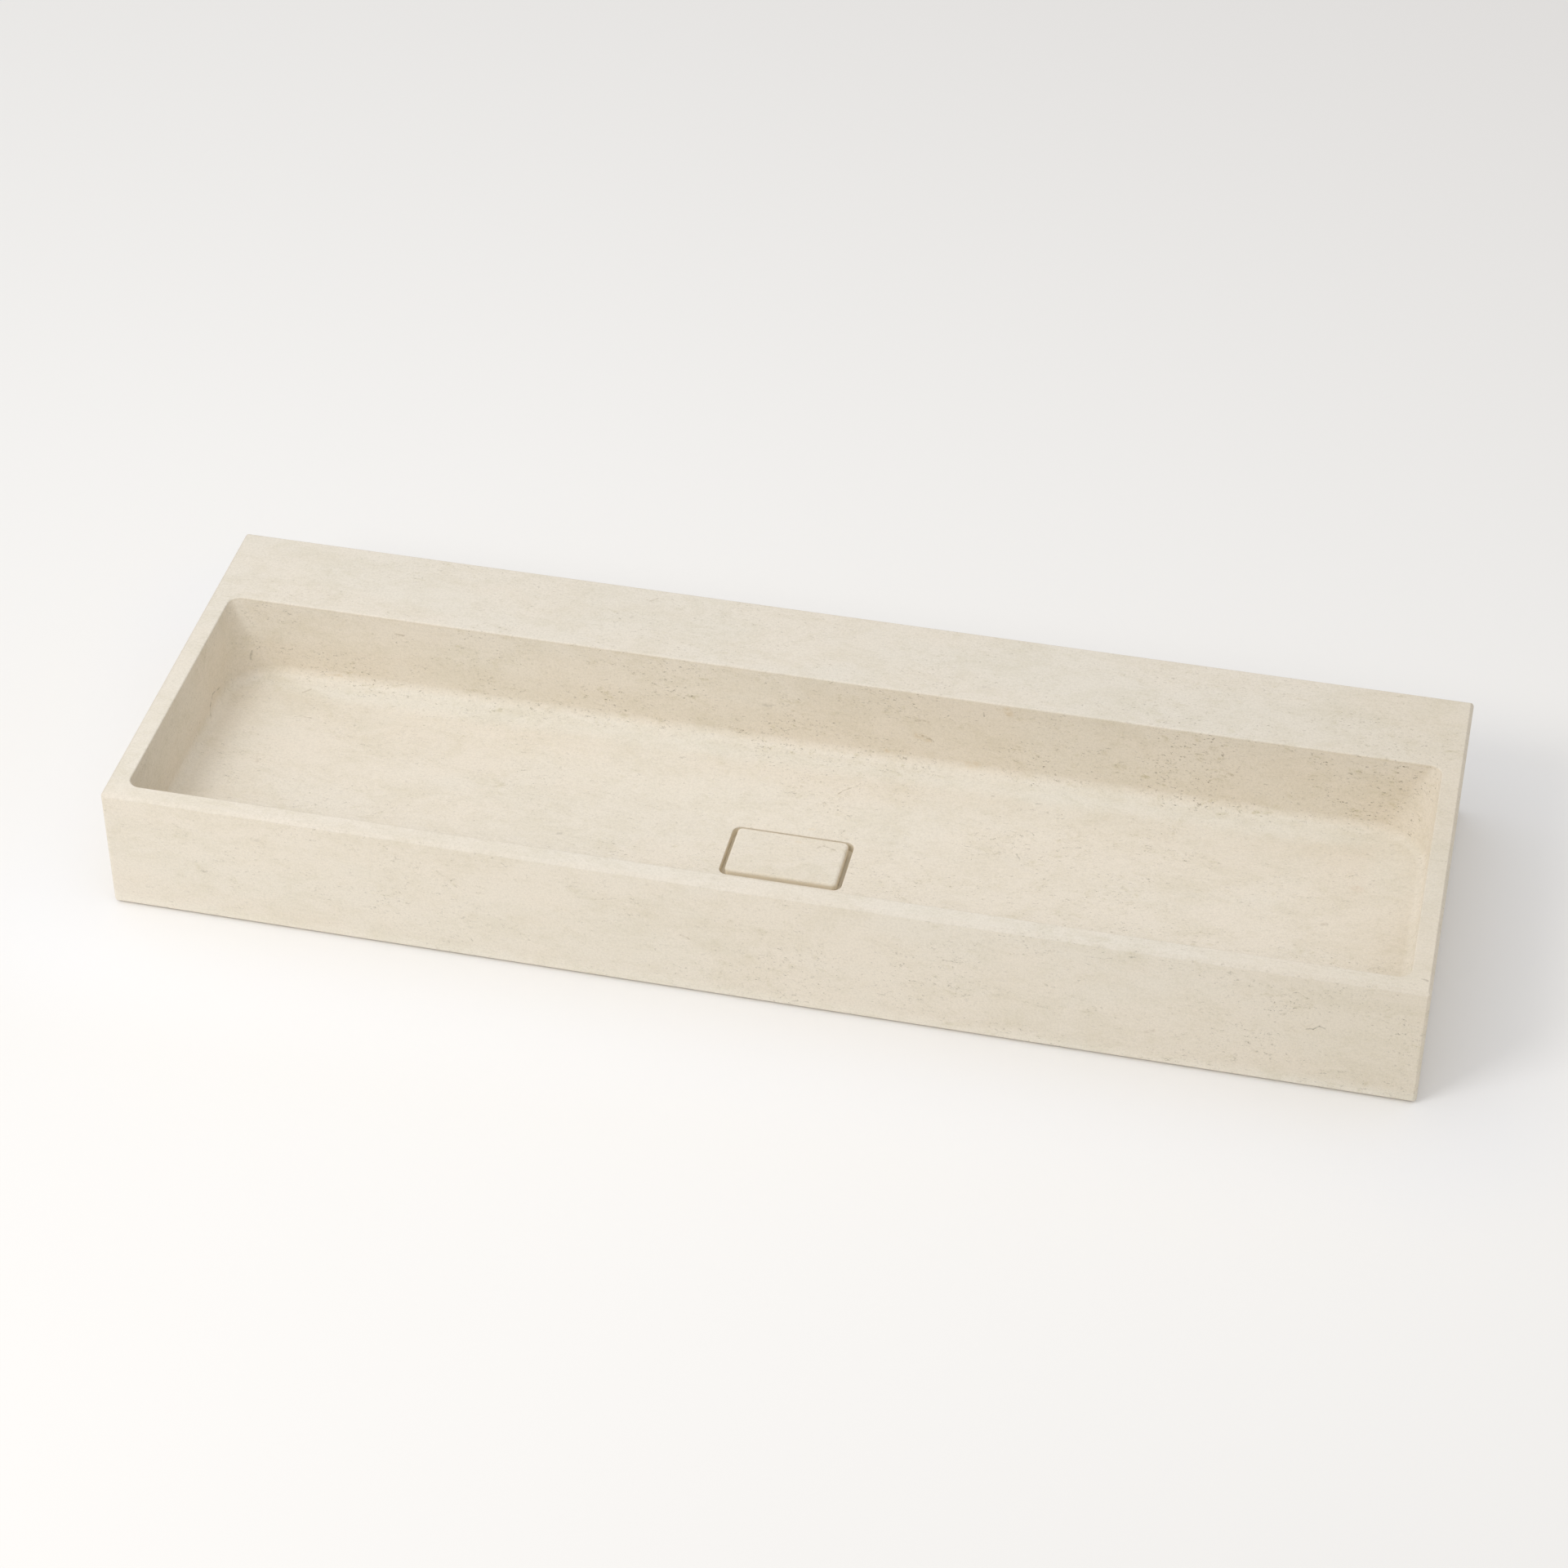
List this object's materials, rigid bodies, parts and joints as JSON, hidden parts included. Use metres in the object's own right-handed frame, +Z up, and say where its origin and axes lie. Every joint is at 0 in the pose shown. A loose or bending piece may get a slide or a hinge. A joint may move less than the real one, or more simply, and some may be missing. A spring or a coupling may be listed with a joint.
{
  "type": "trough sink",
  "caption": "Long rectangular stone trough sink with a wide rear deck, a floor that falls to a drain pocket, a lift-off stone cover over the waste, and anchors for wall hanging.",
  "frame": {"origin": "middle of the base, in the plane that the sink stands on", "axes": "+X along the trough to the right of someone at the front, +Y from the front face to the wall, +Z up"},
  "size_m": [1.219, 0.419, 0.133],
  "materials": {
    "stone": "honed matte cream limestone with fine darker specks and faint short veins",
    "cover_stone": "honed matte cream limestone, the same as the basin",
    "rubber": "matte black rubber",
    "grid_steel": "brushed stainless steel",
    "screw_steel": "turned stainless steel",
    "chrome": "polished chrome plate on brass",
    "foam": "pale closed-cell foam rubber",
    "fibre": "matte off-white slip washer",
    "brass": "plain machined brass",
    "anchor_steel": "turned stainless steel, resin bonded"
  },
  "bodies": {
    "basin": {"basin": "stone", "strainer_grid": "grid_steel", "grid_screw": "screw_steel", "waste_body": "chrome", "flange_gasket": "foam", "lower_gasket": "rubber", "friction_washer": "fibre", "lock_nut": "brass", "wall_inserts": "anchor_steel"},
    "cover": {"drain_cover": "cover_stone", "cover_feet": "rubber"}
  },
  "joints": [
    {"name": "cover_lift", "type": "slide", "parent": "basin", "child": "cover", "axis": [0, 0, 1], "range_m": [0, 0.15]}
  ]
}
